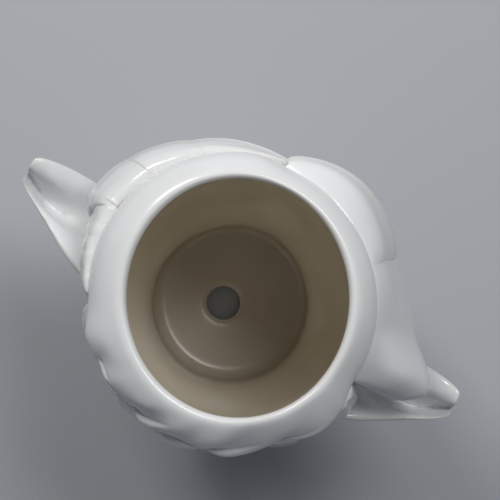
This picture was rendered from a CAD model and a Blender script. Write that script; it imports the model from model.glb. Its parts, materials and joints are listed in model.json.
"""A white glazed head planter, seen from above into its open crown. Metres, +Z up, face along -Y."""

import math

import bpy
import numpy as np
from mathutils import Matrix, Vector
from mathutils.bvhtree import BVHTree
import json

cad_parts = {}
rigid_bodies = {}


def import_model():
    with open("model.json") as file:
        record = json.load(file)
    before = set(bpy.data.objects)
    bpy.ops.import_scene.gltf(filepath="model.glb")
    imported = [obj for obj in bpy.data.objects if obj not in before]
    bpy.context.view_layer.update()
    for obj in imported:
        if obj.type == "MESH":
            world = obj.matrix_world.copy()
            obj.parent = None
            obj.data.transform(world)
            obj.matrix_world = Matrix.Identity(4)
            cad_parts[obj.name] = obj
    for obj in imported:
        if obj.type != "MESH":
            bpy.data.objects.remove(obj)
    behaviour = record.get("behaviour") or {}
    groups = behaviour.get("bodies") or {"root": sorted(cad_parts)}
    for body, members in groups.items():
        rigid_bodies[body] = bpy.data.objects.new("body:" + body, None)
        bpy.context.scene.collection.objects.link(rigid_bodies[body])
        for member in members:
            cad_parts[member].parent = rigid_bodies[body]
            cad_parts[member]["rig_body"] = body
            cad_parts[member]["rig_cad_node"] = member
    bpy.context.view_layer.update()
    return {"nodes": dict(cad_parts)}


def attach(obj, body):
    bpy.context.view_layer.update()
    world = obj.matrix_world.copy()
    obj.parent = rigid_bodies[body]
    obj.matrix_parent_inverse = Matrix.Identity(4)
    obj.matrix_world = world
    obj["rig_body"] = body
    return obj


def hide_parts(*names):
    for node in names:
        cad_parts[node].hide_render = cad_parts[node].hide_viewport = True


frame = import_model()

# The head casting
# A hollow slip-cast earthenware head, one wall of about 5 mm. It is poured in a two-part mould,
# its seams are wiped smooth, and the face is touched up with a tool before the bisque firing.


def rounded(piece, levels):
    """Subdivides a piece and leaves it smooth."""
    bpy.ops.object.modifier_add(type="SUBSURF")
    rounding = piece.modifiers[-1]
    rounding.levels = rounding.render_levels = levels
    bpy.ops.object.modifier_apply(modifier=rounding.name)
    bpy.ops.object.shade_smooth()


def cast_piece(node):
    """A copy of a node, its facets joined to four-sided faces, ready to be rounded."""
    bpy.ops.object.select_all(action="DESELECT")
    piece = frame["nodes"][node].copy()
    piece.data = piece.data.copy()
    piece.name = piece.data.name = "glazed_" + node
    bpy.context.scene.collection.objects.link(piece)
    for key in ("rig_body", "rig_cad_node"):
        if key in piece:
            del piece[key]
    piece.parent = None
    piece.select_set(True)
    bpy.context.view_layer.objects.active = piece
    bpy.ops.object.mode_set(mode="EDIT")
    bpy.ops.mesh.select_all(action="SELECT")
    bpy.ops.mesh.remove_doubles(threshold=0.00002)
    flat, square = math.radians(70), math.radians(100)
    bpy.ops.mesh.tris_convert_to_quads(face_threshold=flat, shape_threshold=square)
    bpy.ops.object.mode_set(mode="OBJECT")
    return piece


# How many times the bends are evened out, and how strongly a bend counts, in metres
BEND_PASSES = 4
BEND_WEIGHT = 0.0016


def mark_bends(piece):
    """Writes how much each point bends: 0 on a sharp edge, 0.5 where it is flat, 1 in a crease."""
    mesh = piece.data
    count = len(mesh.vertices)
    places, normals = np.empty(3 * count), np.empty(3 * count)
    mesh.vertices.foreach_get("co", places)
    mesh.vertices.foreach_get("normal", normals)
    places, normals = places.reshape(-1, 3), normals.reshape(-1, 3)
    ends = np.empty(2 * len(mesh.edges), dtype=np.int32)
    mesh.edges.foreach_get("vertices", ends)
    first, second = ends.reshape(-1, 2).T
    along = places[second] - places[first]
    length = np.maximum((along**2).sum(axis=1), 1e-10)
    rise = (along * normals[first]).sum(axis=1) / length
    fall = -(along * normals[second]).sum(axis=1) / length
    shared = np.bincount(first, minlength=count) + np.bincount(second, minlength=count)
    bend = (np.bincount(first, rise, count) + np.bincount(second, fall, count)) / shared
    for _ in range(BEND_PASSES):
        around = np.bincount(first, bend[second], count) + np.bincount(second, bend[first], count)
        bend = (bend + around / shared) / 2
    marks = mesh.attributes.new("glaze_bend", "FLOAT", "POINT")
    marks.data.foreach_set("value", np.clip(0.5 + bend * BEND_WEIGHT, 0, 1).astype(np.float32))


def dress(piece, node, *materials):
    """Gives a piece its materials and its place in the part."""
    mark_bends(piece)
    piece.data.materials.clear()
    for material in materials:
        piece.data.materials.append(material)
    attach(piece, "root")
    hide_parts(node)


def outward(point):
    """The direction from the pot's upright axis to a point."""
    return Vector((point.x, point.y, 0)).normalized()


def bell(distance, reach):
    """A soft hump: 1 in the middle, 0.6 at its reach and next to nothing at three times that."""
    return math.exp(-((distance / reach) ** 2) / 2)


head = cast_piece("head_vessel")
rounded(head, 2)

# Lines drawn into the leather-hard clay: across and up from the middle of the base of the nose,
# their half length, how far the ends rise, the depth and the width, in millimetres. The dents
# are the nostrils and the hollow of the upper lip. What lies off the middle is on both sides.
NOSE_BASE = 0.077
FACE_BOTTOM = 0.05
FACE_TOP = 0.112
FACE_RADIUS = 0.0535
face_lines = [
    {"across": 22.0, "up": 14.4, "half": 10.5, "rise": 4.6, "deep": 0.75, "wide": 0.62},
    {"across": 21.5, "up": 24.6, "half": 10.0, "rise": -3.4, "deep": 0.4, "wide": 0.8},
    {"across": 0.0, "up": -11.2, "half": 16.5, "rise": 2.2, "deep": 0.7, "wide": 0.6},
]
face_dents = [
    {"across": 4.0, "up": 1.0, "deep": 1.0, "wide": 1.5, "tall": 0.9},
    {"across": 0.0, "up": -4.2, "deep": 0.35, "wide": 1.8, "tall": 2.4},
]

# The wall's inner side: all of it within one radius, and beside the nose within a larger one
INNER_RADIUS = 0.047
INNER_CHEEK_RADIUS = 0.0505
NOSE_HALF_WIDTH = 0.012
CHEEK_BOTTOM = 0.06


def on_the_face(place):
    """Whether a point of the casting lies on the outside of the face."""
    radius = math.hypot(place.x, place.y)
    if place.y > 0 or not FACE_BOTTOM <= place.z <= FACE_TOP or radius < INNER_RADIUS:
        return False
    beside_nose = abs(place.x) > NOSE_HALF_WIDTH and place.z > CHEEK_BOTTOM
    return not (beside_nose and radius < INNER_CHEEK_RADIUS)


def sides(across):
    """Both sides of the face, or the middle alone."""
    return (-1, 1) if across else (1,)


for v in head.data.vertices:
    if not on_the_face(v.co):
        continue
    across = 1000 * math.atan2(v.co.x, -v.co.y) * FACE_RADIUS
    up = 1000 * (v.co.z - NOSE_BASE)
    press = 0.0
    for line in face_lines:
        for side in sides(line["across"]):
            along = (across * side - line["across"]) / line["half"]
            if abs(along) > 1.25:
                continue
            middle = line["up"] + line["rise"] * (along * along - 0.35)
            fade = max(0.0, 1 - abs(along) ** 6 / 2.2)
            press += line["deep"] * fade * bell(up - middle, line["wide"])
    for dent in face_dents:
        for side in sides(dent["across"]):
            beside = bell(across - side * dent["across"], dent["wide"])
            press += dent["deep"] * beside * bell(up - dent["up"], dent["tall"])
    if press:
        v.co -= outward(v.co) * press / 1000

# The casting's top edge, and the depth under a lip over which the cream glaze starts
CROWN = 0.148
GLAZE_EDGE = 0.004

# The inner floor with the bend round it: just under its top, the top of the bend, and its radius
FLOOR_UNDER = 0.0068
FLOOR_BEND_TOP = 0.02
FLOOR_RADIUS = 0.04


def mark_inside(piece, lip_height):
    """Writes how much each point shows the cream glaze of the inside, from 0 to 1."""
    marks = piece.data.attributes.new("inner_glaze", "FLOAT", "POINT")
    for v in piece.data.vertices:
        radius = math.hypot(v.co.x, v.co.y)
        turned_in = -v.normal.dot(outward(v.co))
        deep = (lip_height - v.co.z) / GLAZE_EDGE
        inside = max(0.0, min(1.0, deep)) * max(0.0, min(1.0, (turned_in + 0.35) / 0.5))
        if abs(v.co.z - CROWN) < 0.0015 and radius > 0.05:
            inside = 0.0
        if FLOOR_UNDER < v.co.z < FLOOR_BEND_TOP and v.normal.z > 0.3 and radius < FLOOR_RADIUS:
            inside = 1.0
        marks.data[v.index].value = inside if v.co.z > FLOOR_UNDER else 0.0


mark_inside(head, 0.2)


def glaze_group():
    """Glaze: a tone that drifts over the surface, thin where it ran and full where it pooled."""
    group = bpy.data.node_groups.new("glaze_flow", "ShaderNodeTree")
    face = group.interface
    for name in ("Thin", "Full"):
        face.new_socket(name, in_out="INPUT", socket_type="NodeSocketColor")
    for name in ("Drift Scale", "Roughness", "Ripple"):
        face.new_socket(name, in_out="INPUT", socket_type="NodeSocketFloat")
    face.new_socket("Color", in_out="OUTPUT", socket_type="NodeSocketColor")
    face.new_socket("Roughness", in_out="OUTPUT", socket_type="NodeSocketFloat")
    face.new_socket("Normal", in_out="OUTPUT", socket_type="NodeSocketVector")
    nodes, links = group.nodes, group.links
    given = nodes.new("NodeGroupInput")
    result = nodes.new("NodeGroupOutput")
    place = nodes.new("ShaderNodeTexCoord")
    drift = nodes.new("ShaderNodeTexNoise")
    drift.inputs["Detail"].default_value = 3
    links.new(place.outputs["Object"], drift.inputs["Vector"])
    links.new(given.outputs["Drift Scale"], drift.inputs["Scale"])
    spread = nodes.new("ShaderNodeMapRange")
    spread.inputs["From Min"].default_value = 0.34
    spread.inputs["From Max"].default_value = 0.66
    links.new(drift.outputs["Fac"], spread.inputs["Value"])
    tone = nodes.new("ShaderNodeMix")
    tone.data_type = "RGBA"
    links.new(spread.outputs["Result"], tone.inputs["Factor"])
    links.new(given.outputs["Thin"], tone.inputs["A"])
    links.new(given.outputs["Full"], tone.inputs["B"])
    # Glaze runs thin off an edge, where it turns warm, and gathers cool and grey in a crease
    bend = nodes.new("ShaderNodeAttribute")
    bend.attribute_name = "glaze_bend"
    break_tone = nodes.new("ShaderNodeValToRGB")
    ramp = break_tone.color_ramp
    ramp.elements[0].position = 0.0
    ramp.elements[0].color = (0.9, 0.87, 0.82, 1)
    ramp.elements[1].position = 1.0
    ramp.elements[1].color = (0.72, 0.745, 0.77, 1)
    for at, color in ((0.4, (1, 1, 1, 1)), (0.62, (0.98, 0.985, 0.99, 1))):
        ramp.elements.new(at).color = color
    links.new(bend.outputs["Fac"], break_tone.inputs["Fac"])
    broken = nodes.new("ShaderNodeMix")
    broken.data_type = "RGBA"
    broken.blend_type = "MULTIPLY"
    broken.inputs["Factor"].default_value = 1
    links.new(tone.outputs["Result"], broken.inputs["A"])
    links.new(break_tone.outputs["Color"], broken.inputs["B"])
    links.new(broken.outputs["Result"], result.inputs["Color"])
    patches = nodes.new("ShaderNodeTexNoise")
    patches.inputs["Scale"].default_value = 60
    patches.inputs["Detail"].default_value = 4
    links.new(place.outputs["Object"], patches.inputs["Vector"])
    sheen = nodes.new("ShaderNodeMath")
    sheen.operation = "MULTIPLY_ADD"
    sheen.inputs[1].default_value = 0.08
    links.new(patches.outputs["Fac"], sheen.inputs[0])
    links.new(given.outputs["Roughness"], sheen.inputs[2])
    links.new(sheen.outputs["Value"], result.inputs["Roughness"])
    # The faint ripple of the set glaze, and pinholes where a bubble broke
    ripple = nodes.new("ShaderNodeTexNoise")
    ripple.inputs["Scale"].default_value = 140
    ripple.inputs["Detail"].default_value = 2
    links.new(place.outputs["Object"], ripple.inputs["Vector"])
    pits = nodes.new("ShaderNodeTexVoronoi")
    pits.inputs["Scale"].default_value = 90
    links.new(place.outputs["Object"], pits.inputs["Vector"])
    hole = nodes.new("ShaderNodeMapRange")
    hole.inputs["From Min"].default_value = 0.0
    hole.inputs["From Max"].default_value = 0.035
    links.new(pits.outputs["Distance"], hole.inputs["Value"])
    level = nodes.new("ShaderNodeMath")
    level.operation = "MULTIPLY_ADD"
    level.inputs[1].default_value = 0.25
    links.new(hole.outputs["Result"], level.inputs[0])
    links.new(ripple.outputs["Fac"], level.inputs[2])
    relief = nodes.new("ShaderNodeBump")
    relief.inputs["Distance"].default_value = 0.0004
    links.new(given.outputs["Ripple"], relief.inputs["Strength"])
    links.new(level.outputs["Value"], relief.inputs["Height"])
    links.new(relief.outputs["Normal"], result.inputs["Normal"])
    return group


glaze_flow = glaze_group()
glaze_sockets = (("Color", "Base Color"), ("Roughness", "Roughness"), ("Normal", "Normal"))


def place_glaze(material, thin, full, drift, roughness, ripple):
    """Puts the glaze group into a material, with that material's own values."""
    glaze = material.node_tree.nodes.new("ShaderNodeGroup")
    glaze.node_tree = glaze_flow
    glaze.inputs["Thin"].default_value = (*thin, 1)
    glaze.inputs["Full"].default_value = (*full, 1)
    glaze.inputs["Drift Scale"].default_value = drift
    glaze.inputs["Roughness"].default_value = roughness
    glaze.inputs["Ripple"].default_value = ripple
    return glaze


white_glaze = bpy.data.materials.new("white_glaze")
white_glaze.use_nodes = True
shader = white_glaze.node_tree.nodes["Principled BSDF"]
shader.inputs["IOR"].default_value = 1.52
outer = place_glaze(white_glaze, (0.74, 0.745, 0.74), (0.8, 0.81, 0.815), 22, 0.1, 0.12)
for output, socket in glaze_sockets:
    white_glaze.node_tree.links.new(outer.outputs[output], shader.inputs[socket])

# The walls also carry the cream glaze that was poured inside and tipped out again
wall_glaze = bpy.data.materials.new("wall_glaze")
wall_glaze.use_nodes = True
nodes, links = wall_glaze.node_tree.nodes, wall_glaze.node_tree.links
shader = nodes["Principled BSDF"]
shader.inputs["IOR"].default_value = 1.52
outer = place_glaze(wall_glaze, (0.74, 0.745, 0.74), (0.8, 0.81, 0.815), 22, 0.1, 0.12)
inner = place_glaze(wall_glaze, (0.71, 0.64, 0.52), (0.78, 0.72, 0.61), 30, 0.2, 0.16)
inside = nodes.new("ShaderNodeAttribute")
inside.attribute_name = "inner_glaze"
# It pooled on the floor, where it is deeper in tone than on the walls
where = nodes.new("ShaderNodeTexCoord")
apart = nodes.new("ShaderNodeSeparateXYZ")
depth = nodes.new("ShaderNodeMapRange")
depth.inputs["From Min"].default_value = 0.012
depth.inputs["From Max"].default_value = 0.05
pooled = nodes.new("ShaderNodeMix")
pooled.data_type = "RGBA"
pooled.inputs["A"].default_value = (0.76, 0.74, 0.71, 1)
pooled.inputs["B"].default_value = (1, 1, 1, 1)
deepened = nodes.new("ShaderNodeMix")
deepened.data_type = "RGBA"
deepened.blend_type = "MULTIPLY"
deepened.inputs["Factor"].default_value = 1
tone = nodes.new("ShaderNodeMix")
tone.data_type = "RGBA"
links.new(where.outputs["Object"], apart.inputs["Vector"])
links.new(apart.outputs["Z"], depth.inputs["Value"])
links.new(depth.outputs["Result"], pooled.inputs["Factor"])
links.new(inner.outputs["Color"], deepened.inputs["A"])
links.new(pooled.outputs["Result"], deepened.inputs["B"])
links.new(inside.outputs["Fac"], tone.inputs["Factor"])
links.new(outer.outputs["Color"], tone.inputs["A"])
links.new(deepened.outputs["Result"], tone.inputs["B"])
links.new(tone.outputs["Result"], shader.inputs["Base Color"])
links.new(inner.outputs["Roughness"], shader.inputs["Roughness"])
links.new(outer.outputs["Normal"], shader.inputs["Normal"])

# The foot ring is wiped clean of glaze, so that the pot doesn't stick in the kiln
FOOT_EDGE = 0.0011
bare_foot = bpy.data.materials.new("bare_foot")
bare_foot.use_nodes = True
shader = bare_foot.node_tree.nodes["Principled BSDF"]
grain = place_glaze(bare_foot, (0.62, 0.57, 0.49), (0.72, 0.68, 0.6), 220, 0.72, 0.9)
for output, socket in glaze_sockets:
    bare_foot.node_tree.links.new(grain.outputs[output], shader.inputs[socket])

dress(head, "head_vessel", wall_glaze, bare_foot)
for face in head.data.polygons:
    if face.center.z < FOOT_EDGE:
        face.material_index = 1

# The rolled rim
# A thick coil of clay, pressed on over the top edge of the casting and rolled to a round lip.
# Fingers left folds in it at the back of the head, each sharp at the outer edge and soft above.
rim = cast_piece("rolled_rim")
rounded(rim, 3)

# Each fold: the azimuth and the height over the crown where it starts and ends, and its depth, in
# degrees and millimetres. Each lump between the folds: its azimuth, its reach and how far it swells
RIM_AROUND = 0.057
rim_folds = [
    {"start": (144, 3.0), "end": (153, 6.0), "deep": 1.3},
    {"start": (153, 2.2), "end": (160, 4.6), "deep": 1.0},
    {"start": (167, 2.0), "end": (179, 10.0), "deep": 2.4},
    {"start": (181, 1.8), "end": (195, 6.4), "deep": 2.6},
    {"start": (197, 1.8), "end": (215, 7.2), "deep": 2.4},
    {"start": (228, 2.2), "end": (242, 6.4), "deep": 1.3},
]
rim_lumps = [
    {"azimuth": 134, "reach": 6, "out": 3.0},
    {"azimuth": 151, "reach": 5, "out": 1.8},
    {"azimuth": 170, "reach": 5, "out": 1.2},
    {"azimuth": 189, "reach": 6, "out": 1.4},
    {"azimuth": 204, "reach": 6, "out": 3.2},
    {"azimuth": 215, "reach": 5, "out": 1.2},
    {"azimuth": 240, "reach": 9, "out": 3.4},
]

# The lumps grow outwards from this radius, to their full size this much farther out, in metres
RIM_INNER = 0.0475
RIM_BODY = 0.009

# The azimuths between which the folds lie, and how wide the sharp and the soft side of a fold are,
# in millimetres
FOLDS_START = 135
FOLDS_END = 255
FOLD_SHARP = 0.5
FOLD_SOFT = 2.6


def fold_depth(fold, azimuth, up):
    """How deep a fold presses a place on the rim, in millimetres."""
    run = math.radians(fold["end"][0] - fold["start"][0]) * 1000 * RIM_AROUND
    climb = fold["end"][1] - fold["start"][1]
    reach = math.hypot(run, climb)
    x = math.radians(azimuth - fold["start"][0]) * 1000 * RIM_AROUND
    y = up - fold["start"][1]
    along = (x * run + y * climb) / reach**2
    aside = (y * run - x * climb) / reach
    if not -0.35 < along < 1.2:
        return 0.0
    fade = min(1.0, (along + 0.35) / 0.35) * max(0.0, 1 - max(along, 0) / 1.2) ** 0.8
    return fold["deep"] * fade * math.exp(aside / FOLD_SHARP if aside < 0 else -aside / FOLD_SOFT)


turned_out = [v.normal.dot(outward(v.co)) for v in rim.data.vertices]
for v, facing in zip(rim.data.vertices, turned_out):
    azimuth = math.degrees(math.atan2(v.co.x, -v.co.y)) % 360
    up = 1000 * (v.co.z - CROWN)
    swell = sum(lump["out"] * bell(azimuth - lump["azimuth"], lump["reach"]) for lump in rim_lumps)
    outer_share = max(0.0, min(1.0, (math.hypot(v.co.x, v.co.y) - RIM_INNER) / RIM_BODY))
    v.co += outward(v.co) * swell * outer_share**1.5 / 1000
    if FOLDS_START < azimuth < FOLDS_END and up >= 0.6 and facing >= 0.05:
        press = max(fold_depth(fold, azimuth, up) for fold in rim_folds)
        v.co -= outward(v.co) * press / 1000

mark_inside(rim, 0.1625)
dress(rim, "rolled_rim", wall_glaze)

# The ears
# Two leaf-shaped slabs, cupped over a finger, folded in at the tip and luted to the temples.
# The joint is rubbed over, so each root runs into the head.


def surface_of(node):
    """The surface of a CAD node, from which distances are taken."""
    mesh = frame["nodes"][node].data
    return BVHTree.FromPolygons([v.co for v in mesh.vertices], [p.vertices for p in mesh.polygons])


head_surface = surface_of("head_vessel")

# The ear's own line from its root to its tip, on the head's left, and along it the turn of the
# blade, its half width and the place of its hollow across it
EAR_ROOT = Vector((0.0468, 0.008, 0.099))
EAR_TIP = Vector((0.0968, -0.005, 0.111))
ear_shares = [0, 0.3, 0.43, 0.55, 0.66, 0.76, 0.85, 0.92, 1]
ear_turns = [45, 43, 38, 31, 22, 14, 7, 2, 0]
ear_halves = [0.024, 0.0228, 0.0206, 0.018, 0.0151, 0.0125, 0.01, 0.0082, 0.0046]
ear_hollows = [-0.3, -0.3, -0.26, -0.2, -0.1, 0.02, 0.12, 0.18, 0.2]

# How much narrower the rear and the front half get, how deep the hollow is sunk and how far the
# front margin is rolled, and how far the root is pressed into the head where it touches
REAR_NARROWER = 0.2
FRONT_NARROWER = 0.08
HOLLOW_SUNK = 0.0062
MARGIN_ROLLED = 0.0022
ROOT_TOUCHES = 0.0006
ROOT_PRESSED = 0.0022


def fold_ear(ear, side):
    """Draws the margins in, sinks the hollow and rolls the front margin over it."""
    length = (EAR_TIP - EAR_ROOT).length_squared
    for v in ear.data.vertices:
        place = Vector((side * v.co.x, v.co.y, v.co.z)) - EAR_ROOT
        along = place.dot(EAR_TIP - EAR_ROOT) / length
        turn = math.radians(np.interp(along, ear_shares, ear_turns))
        rearward = Vector((0, math.cos(turn), math.sin(turn)))
        facing = Vector((0, -math.sin(turn), math.cos(turn)))
        half = float(np.interp(along, ear_shares, ear_halves))
        aside = place - (EAR_TIP - EAR_ROOT) * along
        across = aside.dot(rearward) / half
        narrowing = REAR_NARROWER if across > 0 else FRONT_NARROWER
        narrower = narrowing * bell(along - 0.68, 0.2) * half * across
        beside = across - float(np.interp(along, ear_shares, ear_hollows))
        sunk = HOLLOW_SUNK * bell(beside - 0.1, 0.26) * bell(along - 0.78, 0.2)
        rolled = MARGIN_ROLLED * bell(beside + 0.42, 0.2) * bell(along - 0.7, 0.26)
        if aside.dot(facing) <= -0.002 - 0.006 * bell(beside, 0.4):
            rolled = 0.0
        v.co += rearward * (rolled - narrower)
        v.co += facing * (rolled - sunk)


for node, side in (("ear_left", 1), ("ear_right", -1)):
    ear = cast_piece(node)
    fold_ear(ear, side)
    for v in ear.data.vertices:
        if head_surface.find_nearest(v.co)[3] < ROOT_TOUCHES:
            v.co -= outward(v.co) * ROOT_PRESSED
    rounded(ear, 3)
    dress(ear, node, white_glaze)

# The locks of hair
# Press-moulded clay sprigs, laid on the head from a parting and rubbed down at their edges.
# A wooden comb drew the strands, and the glaze fills the joint round each lock to a soft crease.
rim_surface = surface_of("rolled_rim")
RIM_FOOT = CROWN + 0.0003


def off_the_pot(point):
    """How far a point lies off the head, or higher up off the rim."""
    surface = rim_surface if point.z > RIM_FOOT else head_surface
    return surface.find_nearest(point)[3]


def azimuth_of(point, behind):
    """Degrees from the nose towards the head's left, counted on past 180 behind."""
    azimuth = math.degrees(math.atan2(point.x, -point.y))
    return azimuth % 360 if behind else azimuth


def margins(places):
    """The stations along a lock, and the lowest and highest second number at each."""
    stations = []
    for key, value in sorted(places):
        if not stations or key - stations[-1][0] > 0.2:
            stations.append([key, value, value])
        stations[-1][1] = min(stations[-1][1], value)
        stations[-1][2] = max(stations[-1][2], value)
    return zip(*stations)


# A point of a lock that is this near the pot lies in the joint and is pressed in, or lies on the
# lock's margin and is tucked down, in metres
JOINT_GAP = 0.0009
MARGIN_GAP = 0.0022
PRESSED = 0.0016
TUCKED = 0.0012

# How much of the extra thickness a lock under the rim has on the way up from its lower edge
SHOULDER = ((0, 0), (0.25, 0.3), (0.5, 0.65), (0.75, 1), (0.88, 1), (1, 0.45))

# How far its tip reaches over the next lock, on the way up, so that it ends in a leaf shape
TIP = ((0, 0.3), (0.25, 1), (0.5, 0.9), (0.75, 0.5), (1, 0.15))

# The share of a lock's length over which its covered end is turned
END_SHARE = 0.45


def lay_lock(node, flow, strands, deep, fuller=((0, 0),), ends=(), raised=0.0):
    """Lays one lock. Flow says which way its strands run: round the head, down it, or straight
    down across its whole width. Fuller is how much thicker it is worked up, in metres, by
    azimuth. Each end that meets a neighbour has its azimuth, the turn that takes it under or over
    the neighbour and how full it stays. Raised is how far the top edge is rubbed up the rim."""
    lock = cast_piece(node)
    behind = node.startswith(("back_", "nape_"))
    cage = [(azimuth_of(v.co, behind), 1000 * v.co.z) for v in lock.data.vertices]
    keys, low, high = margins((z, a) for a, z in cage) if flow == "down" else margins(cage)
    first, last = min(a for a, _ in cage), max(a for a, _ in cage)
    gaps = [off_the_pot(v.co) for v in lock.data.vertices]
    for v, gap, (azimuth, height) in zip(lock.data.vertices, gaps, cage):
        away = outward(v.co)
        thicker = float(np.interp(azimuth, *zip(*fuller)))
        upper = 0.0
        if raised:
            bottom, top = np.interp(azimuth, keys, low), np.interp(azimuth, keys, high)
            upper = float((height - bottom) / (top - bottom))
        if gap < JOINT_GAP:
            v.co -= away * PRESSED
        elif raised:
            v.co += away * thicker * float(np.interp(upper, *zip(*SHOULDER)))
            lift = raised + max(0.0, CROWN - top / 1000)
            v.co.z += lift * max(0.0, (upper - 0.7) / 0.3) ** 2
            if upper < 0.05:
                v.co -= away * TUCKED
            if upper > 0.95:
                v.co += away * TUCKED
        elif gap < MARGIN_GAP:
            v.co -= away * TUCKED
        else:
            v.co += away * thicker * min(1.0, (gap - 0.0015) / 0.002)
        if not raised and CROWN - 0.0004 < v.co.z < CROWN + 0.0002:
            v.co.z += 0.0012
        for end, turn, fill in ends:
            near = max(0.0, 1 - abs(azimuth - end) / (END_SHARE * (last - first)))
            if gap > JOINT_GAP:
                v.co += away * (fill - 1) * gap * near
            if raised and turn > 0:
                near *= float(np.interp(upper, *zip(*TIP)))
            v.co = Matrix.Rotation(math.radians(turn * near), 3, "Z") @ v.co
    rounded(lock, 3)
    for v in lock.data.vertices:
        azimuth, height = azimuth_of(v.co, behind), 1000 * v.co.z
        if flow == "straight":
            across = (azimuth - first) / (last - first)
        else:
            place, value = (height, azimuth) if flow == "down" else (azimuth, height)
            bottom, top = np.interp(place, keys, low), np.interp(place, keys, high)
            across = (value - bottom) / max(top - bottom, 0.01)
        standing = (off_the_pot(v.co) - 0.0016) / 0.0012
        if standing <= 0 or not 0 < across < 1:
            continue
        wander = 0.05 * math.sin(5 * across + 0.11 * height + 0.07 * azimuth)
        ridge = abs(math.sin(math.pi * (strands * (across + wander) + 0.3)))
        fade = min(1.0, standing) * min(1.0, 6 * across, 6 * (1 - across))
        v.co -= outward(v.co) * deep * fade * (1 - ridge**0.7)
    bpy.ops.object.shade_smooth()
    dress(lock, node, white_glaze)


# How the full locks are worked up round the head: azimuth in degrees and extra metres
sweep_fuller = (
    (-48, -0.003), (-43, -0.002), (-39, -0.0008), (-34, 0),
    (-26, 0.0012), (-14, 0.0022), (-2, 0.0016), (8, 0),
)
flick_fuller = (
    (-97, 0), (-92, 0.002), (-87, 0.006), (-81, 0.001),
    (-75, -0.0028), (-68, -0.0016), (-58, 0), (-47, 0),
)
left_fuller = (
    (8, 0), (20, 0), (34, 0.001), (44, 0.0028),
    (54, 0.0034), (64, 0.0058), (74, 0.005), (83, 0.0048),
)
side_fuller = ((83, 0.0075), (90, 0.0055), (103, 0.0035), (122, 0.002))
thin_fuller = ((-120, 0.0014), (-97, 0.0014))

sweep_ends = ((8, 1.5, 1), (-46.6, -5, 1))
flick_ends = ((-47.6, 5, 1),)
fringe_ends = ((9, -1.5, 1), (42, 9, 1.2))
fringe_lock_ends = ((42.8, -2, 0.85), (63.6, 9, 1.15))
temple_ends = ((64.4, -2, 0.85), (83, 8, 1.15))
side_ends = ((83.7, -2.5, 0.88),)

UNDER_THE_RIM = 0.004
lay_lock("fringe_sweep_right", "round", 3, 0.00012, sweep_fuller, sweep_ends)
lay_lock("flick_lock_right", "round", 3, 0.00015, flick_fuller, flick_ends)
lay_lock("fringe_sweep_left", "round", 4, 0.0003, left_fuller, fringe_ends, UNDER_THE_RIM)
lay_lock("fringe_lock_left", "round", 4, 0.0003, left_fuller, fringe_lock_ends, UNDER_THE_RIM)
lay_lock("temple_lock_left", "round", 4, 0.0003, left_fuller, temple_ends, UNDER_THE_RIM)
lay_lock("side_lock_left", "straight", 5, 0.0003, side_fuller, side_ends, UNDER_THE_RIM)
lay_lock("side_lock_right", "straight", 4, 0.0004, thin_fuller)
for k in range(1, 6):
    lay_lock(f"back_lock_{k}", "down", 4, 0.0005, ((0, 0.0012),))
for k in range(1, 5):
    lay_lock(f"nape_lock_{k}", "down", 3, 0.0004, ((0, 0.0008),))

# The floor and the light
# A plain pale floor, a dim room and two softboxes: one low at the picture's upper left, which
# models the form, and one high at its right that lights the inside.
floor_material = bpy.data.materials.new("floor_paper")
floor_material.use_nodes = True
shader = floor_material.node_tree.nodes["Principled BSDF"]
shader.inputs["Base Color"].default_value = (0.44, 0.455, 0.48, 1)
shader.inputs["Roughness"].default_value = 0.9
bpy.ops.object.select_all(action="DESELECT")
bpy.ops.mesh.primitive_plane_add(size=6, location=(0, 0, 0))
floor = bpy.context.object
floor.name = "floor"
floor.data.materials.append(floor_material)

world = bpy.data.worlds.new("room")
bpy.context.scene.world = world
world.use_nodes = True
world.node_tree.nodes["Background"].inputs["Color"].default_value = (0.8, 0.85, 0.95, 1)
world.node_tree.nodes["Background"].inputs["Strength"].default_value = 0.14

# The photograph's picture axes on the upright pot: right and up
picture_right = Vector((-0.875, -0.485, 0)).normalized()
picture_up = Vector((0.485, -0.875, 0)).normalized()
rim_middle = Vector((0, 0, 0.165))


def softbox(name, right, up, height, size, watts, color):
    """A square softbox, placed from the middle of the rim and turned to the head."""
    place = rim_middle + picture_right * right + picture_up * up + Vector((0, 0, height))
    bpy.ops.object.light_add(type="AREA", location=place)
    lamp = bpy.context.object
    lamp.name = name
    lamp.data.shape = "RECTANGLE"
    lamp.data.size = lamp.data.size_y = size
    lamp.data.energy = watts
    lamp.data.color = color
    lamp.rotation_euler = (Vector((0, 0, 0.12)) - place).to_track_quat("-Z", "Y").to_euler()


softbox("key_softbox", -0.45, 0.75, 0.65, 0.3, 6.0, (1, 0.99, 0.97))
softbox("top_softbox", 0.29, 0.36, 0.82, 0.4, 4.6, (1, 1, 1))

# The camera
# It looks down into the pot. Its optical axis is turned a little, so that the mouth lies where the
# photograph has it, and a pixel of the 500 across covers PIXEL metres at the rim.
DISTANCE = 0.7
PIXEL = 0.00037
PICTURE = 500
SENSOR = 36
camera_data = bpy.data.cameras.new("camera")
camera = bpy.data.objects.new("camera", camera_data)
bpy.context.scene.collection.objects.link(camera)
bpy.context.scene.camera = camera
camera_data.sensor_width = SENSOR
camera_data.lens = SENSOR * DISTANCE / (PICTURE * PIXEL)
spot = rim_middle + picture_right * -0.012 + picture_up * -0.003 + Vector((0, 0, DISTANCE))
aim = rim_middle + picture_right * (11.9 * PIXEL) + picture_up * (47.7 * PIXEL)
back = (spot - aim).normalized()
side = picture_up.cross(back).normalized()
upward = back.cross(side)
camera.matrix_world = Matrix.Translation(spot) @ Matrix((side, upward, back)).transposed().to_4x4()

bpy.context.scene.view_settings.view_transform = "Standard"
